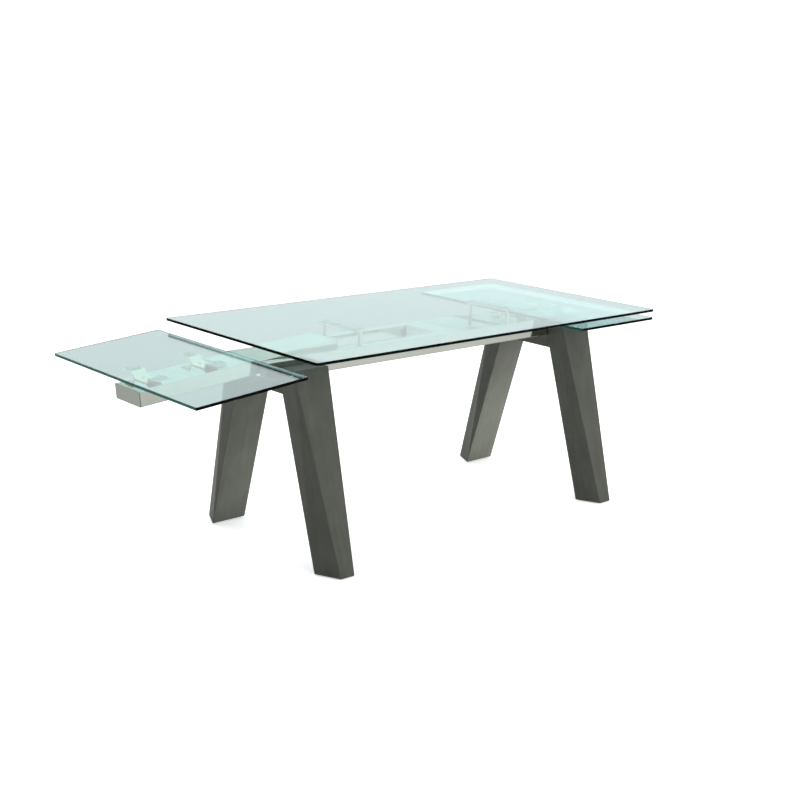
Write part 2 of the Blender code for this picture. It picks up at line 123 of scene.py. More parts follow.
# ---------------------------------------------------------------- colours
GLASS_TINT = (0.0, 0.80, 0.78, 1)
GLASS_TINT_DENSITY = 26.0
# Painted light and shade of the glass edges: near black on most edges, a lighter green on a leaf's two
# edges along Y.
EDGE_PAINTED_SHADE_DARK = (0.0004, 0.0008, 0.0010)
EDGE_PAINTED_SHADE_LIGHT = (0.0008, 0.0018, 0.0020)
GREEN_PAINTED_LIT_EDGE_DARK = (0.001, 0.090, 0.068)
GREEN_PAINTED_LIT_EDGE_LIGHT = (0.003, 0.150, 0.115)
STEEL = (0.51, 0.54, 0.485)
STEEL_WARM = (0.80, 0.72, 0.62)
NYLON_DARK = (0.80, 0.80, 0.77)
NYLON_LIGHT = (0.88, 0.88, 0.85)
RUBBER_DARK = (0.012, 0.012, 0.012)
RUBBER_LIGHT = (0.022, 0.022, 0.022)
PAD_DARK = (0.80, 0.84, 0.82)
PAD_LIGHT = (0.90, 0.93, 0.91)
FIBRE_STOPS = ((0.25, (0.90, 0.90, 0.90)), (0.75, (1.08, 1.08, 1.08)))
BAND_STOPS = ((0.25, (0.080, 0.083, 0.069)), (0.5, (0.090, 0.094, 0.078)), (0.75, (0.100, 0.104, 0.087)))
CLOUD_STOPS = ((0.3, (0.89, 0.89, 0.88)), (0.7, (1.10, 1.11, 1.11)))
FIBRE_SCALE = (420, 420, 14)
BAND_SCALE = (30, 30, 2.2)
CLOUD_SCALE = (14, 14, 9)

# ---------------------------------------------------------------- studio
SKY_HORIZON = 1.18
SKY_MIDDLE = 1.38
SKY_OVERHEAD = 1.75
SKY_DIM_SIDE = 0.12
SKY_DIM_FRONT = 0.55
SKY_SIDE_RANGE = (-0.9, -0.1)
SKY_FRONT_RANGE = (-0.8, 0.1)
SKY_LOW_RANGE = (0.22, 0.42)
SKY_HIGH_RANGE = (0.40, 1.0)
SKY_TO_CAMERA = 1.1
FLOOR_HALF_SIDE = 40.0
FLOOR_CELLS = 8
FLOOR_MOTTLE = 0.015
FLOOR_PAPER = 0.96
FLOOR_IN_STEEL = 0.63
FLOOR_THROUGH_GLASS = 0.34
FLOOR_GLOW = 0.5
LOW_FILL_SIZE = (0.6, 0.2)
LOW_FILL_SPREAD = math.radians(85)

# ---------------------------------------------------------------- camera
CAMERA_AZIMUTH = math.radians(40.6495)
CAMERA_ELEVATION = math.radians(14.38433)
CAMERA_ROLL = math.radians(1.15977)
CAMERA_FROM_TOP_CENTRE = Vector((-3.14022, -3.56083, 1.64239))
CAMERA_LENS = 59.084
CAMERA_SENSOR = 36.0
CAMERA_SIGHT = 200.0


# ---------------------------------------------------------------- body axes and CAD measures
def body_turns():
    """For each body, the turn from its own level axes to how the row frame shows it at rest."""
    turns = {body: Matrix.Identity(4) for body in frame["bodies"]}
    for joint in frame["joints"]:
        if joint["type"] != "slide":
            continue
        axis = Vector(joint["axis"])
        if axis.x < 0:
            axis = -axis
        turn = Matrix.Rotation(math.atan2(-axis.z, axis.x), 4, "Y")
        turns[joint["parent"]] = turn
        turns[joint["child"]] = turn
    return turns


TURNS = body_turns()
SLOT_OF = {part["node"]: part["material_slot"] for part in frame["record"]["subparts"]}


def body_of(node):
    return frame["nodes"][node]["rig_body"]


def square_box(node):
    """(lowest corner, highest corner) of a CAD node in its own body's level axes."""
    back = TURNS[body_of(node)].inverted()
    points = [back @ vertex.co for vertex in frame["nodes"][node].data.vertices]
    low = Vector([min(point[i] for point in points) for i in range(3)])
    high = Vector([max(point[i] for point in points) for i in range(3)])
    return low, high


def middle_of(node):
    low, high = square_box(node)
    return (low + high) / 2


# ---------------------------------------------------------------- mesh helpers
def box_bmesh(low, high):
    bm = bmesh.new()
    bmesh.ops.create_cube(bm, size=1.0)
    bmesh.ops.scale(bm, vec=high - low, verts=bm.verts)
    bmesh.ops.translate(bm, vec=(low + high) / 2, verts=bm.verts)
    return bm


def ease(bm, offset, segments, wanted=None):
    """Bevels the edges that wanted picks, or every edge that isn't flat."""
    edges = []
    for edge in bm.edges:
        if len(edge.link_faces) != 2 or edge.calc_face_angle() < FLAT_ANGLE:
            continue
        if wanted is None or wanted(edge):
            edges.append(edge)
    bmesh.ops.bevel(bm, geom=edges, offset=offset, segments=segments, profile=0.5,
                    affect="EDGES", clamp_overlap=True)


def runs_along(axis):
    """Picks edges that run along one axis, 0 for X to 2 for Z."""
    def wanted(edge):
        along = edge.verts[0].co - edge.verts[1].co
        return abs(along[axis]) > 0.99 * along.length
    return wanted


def clean_copy(node):
    """The CAD node's mesh in its body's level axes, with its flat faces made whole."""
    bm = bmesh.new()
    bm.from_mesh(frame["nodes"][node].data)
    bmesh.ops.transform(bm, matrix=TURNS[body_of(node)].inverted(), verts=bm.verts)
    bmesh.ops.remove_doubles(bm, verts=bm.verts, dist=WELD)
    bmesh.ops.dissolve_limit(bm, angle_limit=COPLANAR_ANGLE, verts=bm.verts, edges=bm.edges)
    return bm


def rounded(outline, radii, segments=4):
    """A closed outline of (y, z) points with each corner rounded by its own radius."""
    count = len(outline)
    result = []
    for i, corner in enumerate(outline):
        here = Vector(corner)
        before = (Vector(outline[i - 1]) - here).normalized()
        after = (Vector(outline[(i + 1) % count]) - here).normalized()
        radius = radii[i]
        half = before.angle(after) / 2
        if radius <= 0 or half < 1e-3:
            result.append(here)
            continue
        centre = here + (before + after).normalized() * (radius / math.sin(half))
        start = here + before * (radius / math.tan(half)) - centre
        end = here + after * (radius / math.tan(half)) - centre
        turn = start.angle_signed(end)
        for step in range(segments + 1):
            angle = -turn * step / segments
            cos, sin = math.cos(angle), math.sin(angle)
            turned = Vector((start.x * cos - start.y * sin, start.x * sin + start.y * cos))
            result.append(centre + turned)
    return result


def section_bmesh(loops, x_low, x_high):
    """A solid along X whose section is the first loop, less the other loops."""
    bm = bmesh.new()
    ends = ([], [])
    for loop in loops:
        rings = []
        for x in (x_low, x_high):
            rings.append([bm.verts.new((x, y, z)) for y, z in loop])
        count = len(loop)
        for i in range(count):
            j = (i + 1) % count
            bm.faces.new((rings[0][i], rings[0][j], rings[1][j], rings[1][i]))
        for end, ring in zip(ends, rings):
            end.extend(bm.edges.get((ring[i], ring[(i + 1) % count])) for i in range(count))
    for end in ends:
        bmesh.ops.triangle_fill(bm, use_beauty=True, edges=end)
    bmesh.ops.recalc_face_normals(bm, faces=bm.faces)
    return bm


def turned_bmesh(profile, centre, axis="Z", segments=ROUND):
    """A solid turned about an axis through centre.

    The profile is a list of (radius, height) points, and its first and last lie on the axis.
    """
    bm = bmesh.new()
    rings = []
    for radius, height in profile:
        if radius <= 1e-9:
            rings.append([bm.verts.new((0, 0, height))])
            continue
        ring = []
        for i in range(segments):
            angle = math.tau * i / segments
            ring.append(bm.verts.new((radius * math.cos(angle), radius * math.sin(angle), height)))
        rings.append(ring)
    for lower, upper in zip(rings, rings[1:]):
        for i in range(segments):
            j = (i + 1) % segments
            if len(lower) == 1:
                bm.faces.new((lower[0], upper[i], upper[j]))
            elif len(upper) == 1:
                bm.faces.new((lower[i], upper[0], lower[j]))
            else:
                bm.faces.new((lower[i], upper[i], upper[j], lower[j]))
    turn = {"Z": Matrix.Identity(4), "Y": Matrix.Rotation(math.pi / 2, 4, "X"),
            "-Z": Matrix.Rotation(math.pi, 4, "X")}[axis]
    bmesh.ops.transform(bm, matrix=Matrix.Translation(centre) @ turn, verts=bm.verts)
    bmesh.ops.recalc_face_normals(bm, faces=bm.faces)
    return bm


def rod_profile(radius, length, chamfer):
    """A rod's profile about its middle, with chamfered ends."""
    half = length / 2
    return [(0, -half), (radius - chamfer, -half), (radius, chamfer - half), (radius, half - chamfer),
            (radius - chamfer, half), (0, half)]


def make_piece(name, bm, material, body, stands_for=()):
    """One piece of the table, from a bmesh in its body's level axes."""
    bmesh.ops.recalc_face_normals(bm, faces=bm.faces)
    bmesh.ops.transform(bm, matrix=TURNS[body], verts=bm.verts)
    mesh = bpy.data.meshes.new(name)
    bm.to_mesh(mesh)
    bm.free()
    mesh.materials.append(material)
    mesh.shade_smooth()
    mesh.set_sharp_from_angle(angle=SMOOTH_ANGLE)
    piece = bpy.data.objects.new(name, mesh)
    bpy.context.scene.collection.objects.link(piece)
    flats = piece.modifiers.new("flat_faces", "WEIGHTED_NORMAL")
    flats.keep_sharp = True
    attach(piece, body)
    if stands_for:
        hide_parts(*stands_for)
    return piece


def stand_in(node, bm, material):
    """A finished piece in place of one CAD node."""
    return make_piece(f"{node}_finished", bm, material, body_of(node), (node,))


# ---------------------------------------------------------------- materials
class Nodes:
    """Adds nodes to one material and links them."""

    def __init__(self, name):
        self.material = bpy.data.materials.new(name)
        self.material.use_nodes = True
        self.tree = self.material.node_tree
        self.shader = self.tree.nodes["Principled BSDF"]
        self.output = self.tree.nodes["Material Output"]

    def add(self, kind, **settings):
        node = self.tree.nodes.new(kind)
        for key, value in settings.items():
            setattr(node, key, value)
        return node

    def link(self, source, target):
        self.tree.links.new(source, target)

    def grain_coordinates(self, scale, lean=0.0):
        """Object coordinates, turned about X by lean, then stretched by a scale on each axis."""
        place = self.add("ShaderNodeTexCoord")
        turn = self.add("ShaderNodeMapping")
        turn.inputs["Rotation"].default_value = (lean, 0, 0)
        mapping = self.add("ShaderNodeMapping")
        mapping.inputs["Scale"].default_value = scale
        self.link(place.outputs["Object"], turn.inputs["Vector"])
        self.link(turn.outputs["Vector"], mapping.inputs["Vector"])
        return mapping.outputs["Vector"]

    def noise(self, vector, scale, detail=4.0, roughness=0.55, distortion=0.0):
        noise = self.add("ShaderNodeTexNoise")
        noise.inputs["Scale"].default_value = scale
        noise.inputs["Detail"].default_value = detail
        noise.inputs["Roughness"].default_value = roughness
        noise.inputs["Distortion"].default_value = distortion
        self.link(vector, noise.inputs["Vector"])
        return noise.outputs["Fac"]

    def ramp(self, factor, stops):
        ramp = self.add("ShaderNodeValToRGB")
        elements = ramp.color_ramp.elements
        while len(elements) < len(stops):
            elements.new(0.5)
        for element, (place, colour) in zip(elements, stops):
            element.position = place
            element.color = (*colour, 1.0)
        self.link(factor, ramp.inputs["Fac"])
        return ramp.outputs["Color"]

    def spread(self, factor, low, high, start=0.3, end=0.7):
        """Maps a noise's usual range to low..high."""
        spread = self.add("ShaderNodeMapRange")
        spread.inputs["From Min"].default_value = start
        spread.inputs["From Max"].default_value = end
        spread.inputs["To Min"].default_value = low
        spread.inputs["To Max"].default_value = high
        self.link(factor, spread.inputs["Value"])
        return spread.outputs["Result"]

    def mix(self, blend, factor, first, second):
        mix = self.add("ShaderNodeMix", data_type="RGBA", blend_type=blend)
        colours = [socket for socket in mix.inputs if socket.type == "RGBA"]
        if isinstance(factor, float):
            mix.inputs["Factor"].default_value = factor
        else:
            self.link(factor, mix.inputs["Factor"])
        self.link(first, colours[0])
        self.link(second, colours[1])
        return [socket for socket in mix.outputs if socket.type == "RGBA"][0]

    def bump(self, height, strength, distance):
        bump = self.add("ShaderNodeBump")
        bump.inputs["Strength"].default_value = strength
        bump.inputs["Distance"].default_value = distance
        self.link(height, bump.inputs["Height"])
        self.link(bump.outputs["Normal"], self.shader.inputs["Normal"])

    def set(self, **values):
        for key, value in values.items():
            self.shader.inputs[key.replace("_", " ")].default_value = value


def glass_material():
    """Clear glass that takes its tint from the depth the light passes."""
    nodes = Nodes("clear_glass")
    nodes.set(Base_Color=(1, 1, 1, 1), Transmission_Weight=1.0, IOR=1.5)
    where = nodes.grain_coordinates((1, 1, 1))
    smudge = nodes.noise(where, 5.0, detail=3.0)
    nodes.link(nodes.spread(smudge, 0.0, 0.006), nodes.shader.inputs["Roughness"])
    tint = nodes.add("ShaderNodeVolumeAbsorption")
    tint.inputs["Color"].default_value = GLASS_TINT
    tint.inputs["Density"].default_value = GLASS_TINT_DENSITY
    nodes.link(tint.outputs["Volume"], nodes.output.inputs["Volume"])
    return nodes.material


def glass_edge_material(name, dark, light, gloss):
    """The ground edge of a sheet, drawn opaque: a painted colour between dark and light stands in for the
    light and shade that the sheet's depth of green tint gives its edge.
    """
    nodes = Nodes(name)
    nodes.set(Specular_IOR_Level=gloss)
    clouds = nodes.noise(nodes.grain_coordinates((9, 9, 60)), 1.0, detail=3.0)
    nodes.link(nodes.ramp(clouds, ((0.3, dark), (0.7, light))), nodes.shader.inputs["Base Color"])
    nodes.link(nodes.spread(clouds, 0.18, 0.26), nodes.shader.inputs["Roughness"])
    return nodes.material


def steel_material(name, tone, rough, colour=STEEL):
    """Steel with faint streaks along X; rough is the (lowest, highest) roughness."""
    nodes = Nodes(name)
    nodes.set(Metallic=1.0)
    streaks = nodes.noise(nodes.grain_coordinates((1.2, 60, 60)), 9.0, detail=5.0)
    clouds = nodes.noise(nodes.grain_coordinates((1, 1, 1)), 7.0, detail=3.0)
    dark = tuple(0.95 * tone * c for c in colour)
    light = tuple(1.05 * tone * c for c in colour)
    nodes.link(nodes.ramp(clouds, ((0.3, dark), (0.7, light))), nodes.shader.inputs["Base Color"])
    nodes.link(nodes.spread(streaks, *rough), nodes.shader.inputs["Roughness"])
    nodes.bump(streaks, 0.05, 0.0004)
    return nodes.material


def veneer_material(name, lean):
    """Grey-stained veneer. Its grain runs along Z, leant about X."""
    nodes = Nodes(name)
    nodes.set(Specular_IOR_Level=0.22)
    fibres = nodes.noise(nodes.grain_coordinates(FIBRE_SCALE, lean), 1.0, detail=6.0, roughness=0.65)
    bands = nodes.noise(nodes.grain_coordinates(BAND_SCALE, lean), 1.0, detail=5.0, distortion=0.8)
    clouds = nodes.noise(nodes.grain_coordinates(CLOUD_SCALE, lean), 1.0, detail=5.0)
    fibre_colour = nodes.ramp(fibres, FIBRE_STOPS)
    band_colour = nodes.ramp(bands, BAND_STOPS)
    cloud_colour = nodes.ramp(clouds, CLOUD_STOPS)
    colour = nodes.mix("MULTIPLY", 1.0, band_colour, fibre_colour)
    colour = nodes.mix("MULTIPLY", 1.0, colour, cloud_colour)
    nodes.link(colour, nodes.shader.inputs["Base Color"])
    nodes.link(nodes.spread(fibres, 0.34, 0.50), nodes.shader.inputs["Roughness"])
    nodes.bump(fibres, 0.18, 0.0004)
    return nodes.material


def plastic_material(name, dark, light, rough, grain=900.0, strength=0.15):
    """Moulded plastic, nylon or rubber: a fine even grain and a slight cloudiness."""
    nodes = Nodes(name)
    where = nodes.grain_coordinates((1, 1, 1))
    clouds = nodes.noise(where, 22.0, detail=2.0)
    grains = nodes.noise(where, grain, detail=2.0)
    nodes.link(nodes.ramp(clouds, ((0.3, dark), (0.7, light))), nodes.shader.inputs["Base Color"])
    nodes.link(nodes.spread(grains, rough - 0.06, rough + 0.06), nodes.shader.inputs["Roughness"])
    nodes.bump(grains, strength, 0.0002)
    return nodes.material


def pad_material():
    """Translucent cast pads and stops."""
    nodes = Nodes("clear_pad")
    nodes.set(Transmission_Weight=0.55, IOR=1.45)
    where = nodes.grain_coordinates((1, 1, 1))
    clouds = nodes.noise(where, 40.0, detail=2.0)
    nodes.link(nodes.ramp(clouds, ((0.3, PAD_DARK), (0.7, PAD_LIGHT))), nodes.shader.inputs["Base Color"])
    nodes.link(nodes.spread(clouds, 0.25, 0.4), nodes.shader.inputs["Roughness"])
    return nodes.material


def floor_material():
    """Plain white paper, lifted to white where the camera sees it.

    It is duller in reflections, and duller still through glass.
    """
    nodes = Nodes("studio_floor")
    where = nodes.grain_coordinates((1, 1, 1))
    clouds = nodes.noise(where, 1.5, detail=3.0)
    path = nodes.add("ShaderNodeLightPath")

    def shade(tone):
        light = tone + FLOOR_MOTTLE
        return nodes.ramp(clouds, ((0.3, (tone, tone, tone)), (0.7, (light, light, light))))

    bright = nodes.add("ShaderNodeMath", operation="MAXIMUM")
    nodes.link(path.outputs["Is Camera Ray"], bright.inputs[0])
    nodes.link(path.outputs["Is Diffuse Ray"], bright.inputs[1])
    dull = nodes.mix("MIX", path.outputs["Is Transmission Ray"], shade(FLOOR_IN_STEEL),
                     shade(FLOOR_THROUGH_GLASS))
    nodes.link(nodes.mix("MIX", bright.outputs["Value"], dull, shade(FLOOR_PAPER)),
               nodes.shader.inputs["Base Color"])
    glow = nodes.add("ShaderNodeMath", operation="MULTIPLY")
    nodes.link(path.outputs["Is Camera Ray"], glow.inputs[0])
    glow.inputs[1].default_value = FLOOR_GLOW
    nodes.set(Roughness=0.9, Specular_IOR_Level=0.1, Emission_Color=(1, 1, 1, 1))
    nodes.link(glow.outputs["Value"], nodes.shader.inputs["Emission Strength"])
    return nodes.material


MATERIALS = {
    "clear_glass": glass_material(),
    "polished_steel": steel_material("polished_steel", 1.0, (0.05, 0.11)),
    "zinc_steel": steel_material("zinc_steel", 0.82, (0.28, 0.4)),
    "grey_veneer": veneer_material("grey_veneer", 0.0),
    "white_nylon": plastic_material("white_nylon", NYLON_DARK, NYLON_LIGHT, 0.42),
    "black_rubber": plastic_material("black_rubber", RUBBER_DARK, RUBBER_LIGHT, 0.75),
    "clear_pad": pad_material(),
}

# Satin steel, rougher and darker than the polished steel, is for the nose caps; its darkness is painted
# shade.
# Warm steel is for the posts and supports; dark steel for the rail caps, and as painted shade in the
# seams round the beams' caps.
SATIN_STEEL_PAINTED_SHADE = steel_material("satin_steel_painted_shade", 0.80, (0.2, 0.3))
WARM_STEEL = steel_material("warm_steel", 1.0, (0.34, 0.44), STEEL_WARM)
DARK_STEEL_AND_SEAM_SHADE = steel_material("dark_steel_and_seam_shade", 0.42, (0.22, 0.32))
PAINTED_SHADE_EDGE = glass_edge_material("glass_edge_painted_shade", EDGE_PAINTED_SHADE_DARK, EDGE_PAINTED_SHADE_LIGHT, 0.04)
GREEN_PAINTED_LIT_EDGE = glass_edge_material("glass_edge_green_painted_lit", GREEN_PAINTED_LIT_EDGE_DARK, GREEN_PAINTED_LIT_EDGE_LIGHT, 0.15)


def finish_of(node):
    return MATERIALS[SLOT_OF[node]]


# ---------------------------------------------------------------- glass
def glass_plate(node):
    """A sheet with rounded corners and ground edges. The edges are opaque and near black, as painted
    shade; a leaf's two edges along Y are a lighter green, as painted light in the glass's green tint.
    """
    low, high = square_box(node)
    bm = box_bmesh(low, high)
    upright = [edge for edge in bm.edges if runs_along(2)(edge)]
    bmesh.ops.bevel(bm, geom=upright, offset=GLASS_CORNER, segments=GLASS_CORNER_STEPS, profile=0.5,
                    affect="EDGES")
    rim = [edge for edge in bm.edges if edge.calc_face_angle() > RIM_ANGLE]
    bmesh.ops.bevel(bm, geom=rim, offset=GLASS_ARRIS, segments=1, profile=0.5, affect="EDGES")
    bm.normal_update()
    # Edge faces take index 1 (deep), painted shade, or, on a leaf's edges along Y, index 2 (green),
    # painted light.
    deep, green = 1, 2
    for face in bm.faces:
        if abs(face.normal.z) > FACES_UP:
            continue
        leaf_end = node != "main_glass" and abs(face.normal.x) > FACES_ALONG
        face.material_index = green if leaf_end else deep
    sheet = stand_in(node, bm, finish_of(node))
    sheet.data.materials.append(PAINTED_SHADE_EDGE)
    sheet.data.materials.append(GREEN_PAINTED_LIT_EDGE)


# ---------------------------------------------------------------- trestles
def leg_lean():
    """Angle of the front legs' length from upright, towards -Y at the foot."""
    node = "front_left_leg"
    low, high = square_box(node)
    points = [vertex.co for vertex in frame["nodes"][node].data.vertices]
    near = 1e-4
    foot_y = min(point.y for point in points if point.z < low.z + near)
    head_y = min(point.y for point in points if point.z > high.z - near)
    return math.atan2(head_y - foot_y, high.z - low.z)


VENEERS = {
    "front": veneer_material("grey_veneer_front", leg_lean()),
    "back": veneer_material("grey_veneer_back", -leg_lean()),
    "across": veneer_material("grey_veneer_across", math.pi / 2),
}


def leg(node, side):
    """A leg with its edges eased; side is front or back."""
    bm = clean_copy(node)
    ease(bm, LEG_EASING, 3)
    stand_in(node, bm, VENEERS[side])


def cross_beam(node):
    """The beam between a trestle's legs. Its ends follow the legs' inner faces."""
    low, high = square_box(node)
    ends = [v.co for v in frame["nodes"][node].data.vertices if abs(v.co.x - low.x) < WELD]
    centre = sum(ends, Vector()) / len(ends)
    unique = {(round(co.y, 5), round(co.z, 5)) for co in ends}
    outline = sorted(unique, key=lambda p: math.atan2(p[1] - centre.z, p[0] - centre.y))
    bm = section_bmesh([outline], low.x, high.x)
    bmesh.ops.dissolve_limit(bm, angle_limit=COPLANAR_ANGLE, verts=bm.verts, edges=bm.edges)
    ease(bm, LEG_EASING, 3)
    stand_in(node, bm, VENEERS["across"])


def glide(node):
    """Rubber-faced foot glide with a rounded rim."""
    low, high = square_box(node)
    radius, height = (high.x - low.x) / 2, high.z - low.z
    lip = height * GLIDE_LIP_SHARE
    profile = [(0, 0), (radius - 2 * lip, 0), (radius - lip, lip * 0.3), (radius, lip), (radius, height),
               (0, height)]
    bm = turned_bmesh(profile, Vector((middle_of(node).x, middle_of(node).y, low.z)))
    stand_in(node, bm, finish_of(node))


def bolt(node):
    """Socket-head bolt, standing on its head under the cross beam."""
    low, high = square_box(node)
    radius, length = (high.x - low.x) / 2, high.z - low.z
    profile = [(0, SOCKET_DEPTH), (SOCKET_RADIUS, SOCKET_DEPTH), (SOCKET_RADIUS, 0),
               (radius - BOLT_EASING, 0), (radius, BOLT_EASING), (radius, BOLT_HEAD_HEIGHT),
               (BOLT_SHANK_RADIUS, BOLT_HEAD_HEIGHT), (BOLT_SHANK_RADIUS, length - BOLT_EASING),
               (BOLT_SHANK_RADIUS - BOLT_EASING, length), (0, length)]
    bm = turned_bmesh(profile, Vector((middle_of(node).x, middle_of(node).y, low.z)))
    stand_in(node, bm, finish_of(node))


# ---------------------------------------------------------------- rails and what stands on them
def groove_top(node):
    """Height of the groove's upper face in a rail: the third level from below on its inner face."""
    side = 1 if middle_of(node).y > 0 else -1
    low, high = square_box(node)
    inner = low.y if side > 0 else high.y
    levels = sorted({round(v.co.z, 5) for v in frame["nodes"][node].data.vertices
                     if abs(v.co.x - low.x) < WELD and abs(v.co.y - inner) < WELD})
    groove_roof = levels[2]
    return groove_roof


def rail(node):
    """Square tube with a rounded outside and a groove along its inner face."""
    low, high = square_box(node)
    side = 1 if middle_of(node).y > 0 else -1
    inner, outer = (low.y, high.y) if side > 0 else (high.y, low.y)
    floor, roof = low.z + GROOVE_SILL, groove_top(node)
    deep = inner + side * GROOVE_DEPTH
    outline = [(outer, low.z), (outer, high.z), (inner, high.z), (inner, roof), (deep, roof),
               (deep, floor), (inner, floor), (inner, low.z)]
    radii = [TUBE_CORNER, TUBE_CORNER, TUBE_CORNER, GROOVE_LIP, GROOVE_LIP, GROOVE_LIP, GROOVE_LIP,
             TUBE_CORNER]
    back, front = deep + side * TUBE_WALL, outer - side * TUBE_WALL
    bore = [(front, low.z + TUBE_WALL), (front, high.z - TUBE_WALL), (back, high.z - TUBE_WALL),
            (back, low.z + TUBE_WALL)]
    loops = [rounded(outline, radii), rounded(bore, [TUBE_BORE_CORNER] * 4, 3)]
    stand_in(node, section_bmesh(loops, low.x, high.x), finish_of(node))


def rail_cap(node):
    """Plate on a rail's end, rounded like the tube."""
    low, high = square_box(node)
    bm = box_bmesh(low, high)
    ease(bm, TUBE_CORNER, 4, runs_along(0))
    ease(bm, PLATE_EASING, 2)
    stand_in(node, bm, DARK_STEEL_AND_SEAM_SHADE)


def plain_plate(node, easing):
    """The CAD node's own shape with eased edges."""
    bm = clean_copy(node)
    ease(bm, easing, 2)
    stand_in(node, bm, finish_of(node))


def post(node):
    """Turned post with a collar where it stands on the rail."""
    low, high = square_box(node)
    radius, height = (high.x - low.x) / 2, high.z - low.z
    profile = [(0, 0), (POST_FOOT_RADIUS, 0), (POST_FOOT_RADIUS, POST_FOOT_HEIGHT - POST_FOOT_EASING),
               (POST_FOOT_RADIUS - POST_FOOT_EASING, POST_FOOT_HEIGHT), (radius, POST_FOOT_HEIGHT),
               (radius, height - POST_EASING), (radius - POST_EASING, height), (0, height)]
    bm = turned_bmesh(profile, Vector((middle_of(node).x, middle_of(node).y, low.z)))
    stand_in(node, bm, WARM_STEEL)


def button_screw(name, seat, body):
    """Button-head screw whose head sits on seat, facing up."""
    top = SCREW_HEIGHT
    profile = [(0, 0), (SCREW_RADIUS, 0), (SCREW_RADIUS, top * 0.25), (SCREW_RADIUS * 0.9, top * 0.62),
               (SCREW_RADIUS * 0.68, top * 0.9), (SCREW_RADIUS * 0.5, top), (SOCKET_RADIUS, top),
               (SOCKET_RADIUS, top - SOCKET_DEPTH), (0, top - SOCKET_DEPTH)]
    bm = turned_bmesh(profile, seat, "Z", SMALL_ROUND)
    make_piece(name, bm, MATERIALS["zinc_steel"], body)


def bridge_buttons(word):
    """Round pads over the posts, where the top rests."""
    bridge_top = square_box(f"{word}_bridge")[1].z
    thick = square_box(f"{word}_bridge_pad")[1].z - bridge_top
    profile = [(0, 0), (BUTTON_RADIUS, 0), (BUTTON_RADIUS, thick - BUTTON_EASING),
               (BUTTON_RADIUS - BUTTON_EASING, thick), (0, thick)]
    for side_word in ("front", "back"):
        place = middle_of(f"{side_word}_{word}_post")
        bm = turned_bmesh(profile, Vector((place.x, place.y, bridge_top)))
        make_piece(f"{side_word}_{word}_bridge_button", bm, MATERIALS["white_nylon"], "frame")


# ---------------------------------------------------------------- sliding leaves
def beam(node):
    """Square tube with rounded edges."""
    low, high = square_box(node)
    outline = [(low.y, low.z), (high.y, low.z), (high.y, high.z), (low.y, high.z)]
    wall = TUBE_WALL
    bore = [(low.y + wall, low.z + wall), (high.y - wall, low.z + wall), (high.y - wall, high.z - wall),
            (low.y + wall, high.z - wall)]
    loops = [rounded(outline, [TUBE_CORNER] * 4), rounded(bore, [TUBE_BORE_CORNER] * 4, 3)]
    stand_in(node, section_bmesh(loops, low.x, high.x), finish_of(node))


def beam_cap(node, outward, material):
    """End plate of a beam with the plug that holds it in the tube; outward is +1 or -1 along X."""
    low, high = square_box(node)
    plate_low, plate_high = low.copy(), high.copy()
    if outward > 0:
        plate_low.x = high.x - CAP_PLATE
    else:
        plate_high.x = low.x + CAP_PLATE
    bm = box_bmesh(plate_low, plate_high)
    ease(bm, TUBE_CORNER, 4, runs_along(0))
    face = min(bm.faces, key=lambda f: outward * f.calc_center_median().x)
    bmesh.ops.inset_region(bm, faces=[face], thickness=TUBE_WALL + CAP_SLACK, use_even_offset=True)
    raised = bmesh.ops.extrude_face_region(bm, geom=[face])
    moved = [v for v in raised["geom"] if isinstance(v, bmesh.types.BMVert)]
    bmesh.ops.translate(bm, vec=Vector((-outward * CAP_PLUG, 0, 0)), verts=moved)
    bmesh.ops.delete(bm, geom=[face], context="FACES")
    end_x = high.x if outward > 0 else low.x

    def on_end(edge):
        return all(outward * vert.co.x > outward * end_x - WELD for vert in edge.verts)

    ease(bm, PLATE_EASING, 2, on_end)
    bm.normal_update()
    # The faces round the cap's rim take the dark steel: painted shade in the seam between cap and tube.
    painted_seam_shade = 1
    for face in bm.faces:
        if abs(face.normal.x) < 0.5:
            face.material_index = painted_seam_shade
    cap = stand_in(node, bm, material)
    cap.data.materials.append(DARK_STEEL_AND_SEAM_SHADE)


def guide_pin(node):
    """Round pin across the table."""
    low, high = square_box(node)
    profile = rod_profile((high.x - low.x) / 2, high.y - low.y, PIN_CHAMFER)
    bm = turned_bmesh(profile, middle_of(node), "Y")
    stand_in(node, bm, finish_of(node))


def roller(node):
    """Nylon roller with eased rims."""
    low, high = square_box(node)
    profile = rod_profile((high.x - low.x) / 2, high.y - low.y, ROLLER_CHAMFER)
    bm = turned_bmesh(profile, middle_of(node), "Y")
    stand_in(node, bm, finish_of(node))


def support(node):
    """Bent plate between a beam and its leaf's pads, with softer edges along its bends."""
    bm = clean_copy(node)
    ease(bm, BEND_EASING, 3, runs_along(0))
    ease(bm, PLATE_EASING, 1, lambda edge: not runs_along(0)(edge))
    stand_in(node, bm, WARM_STEEL)


def support_screws(node):
    """Two screws through a support's base into the beam."""
    seat = square_box(node)[0].z + SUPPORT_BASE_THICKNESS
    for i, y in enumerate((-SCREW_OFF_CENTRE, SCREW_OFF_CENTRE)):
        button_screw(f"{node}_screw_{i + 1}", Vector((middle_of(node).x, y, seat)), body_of(node))


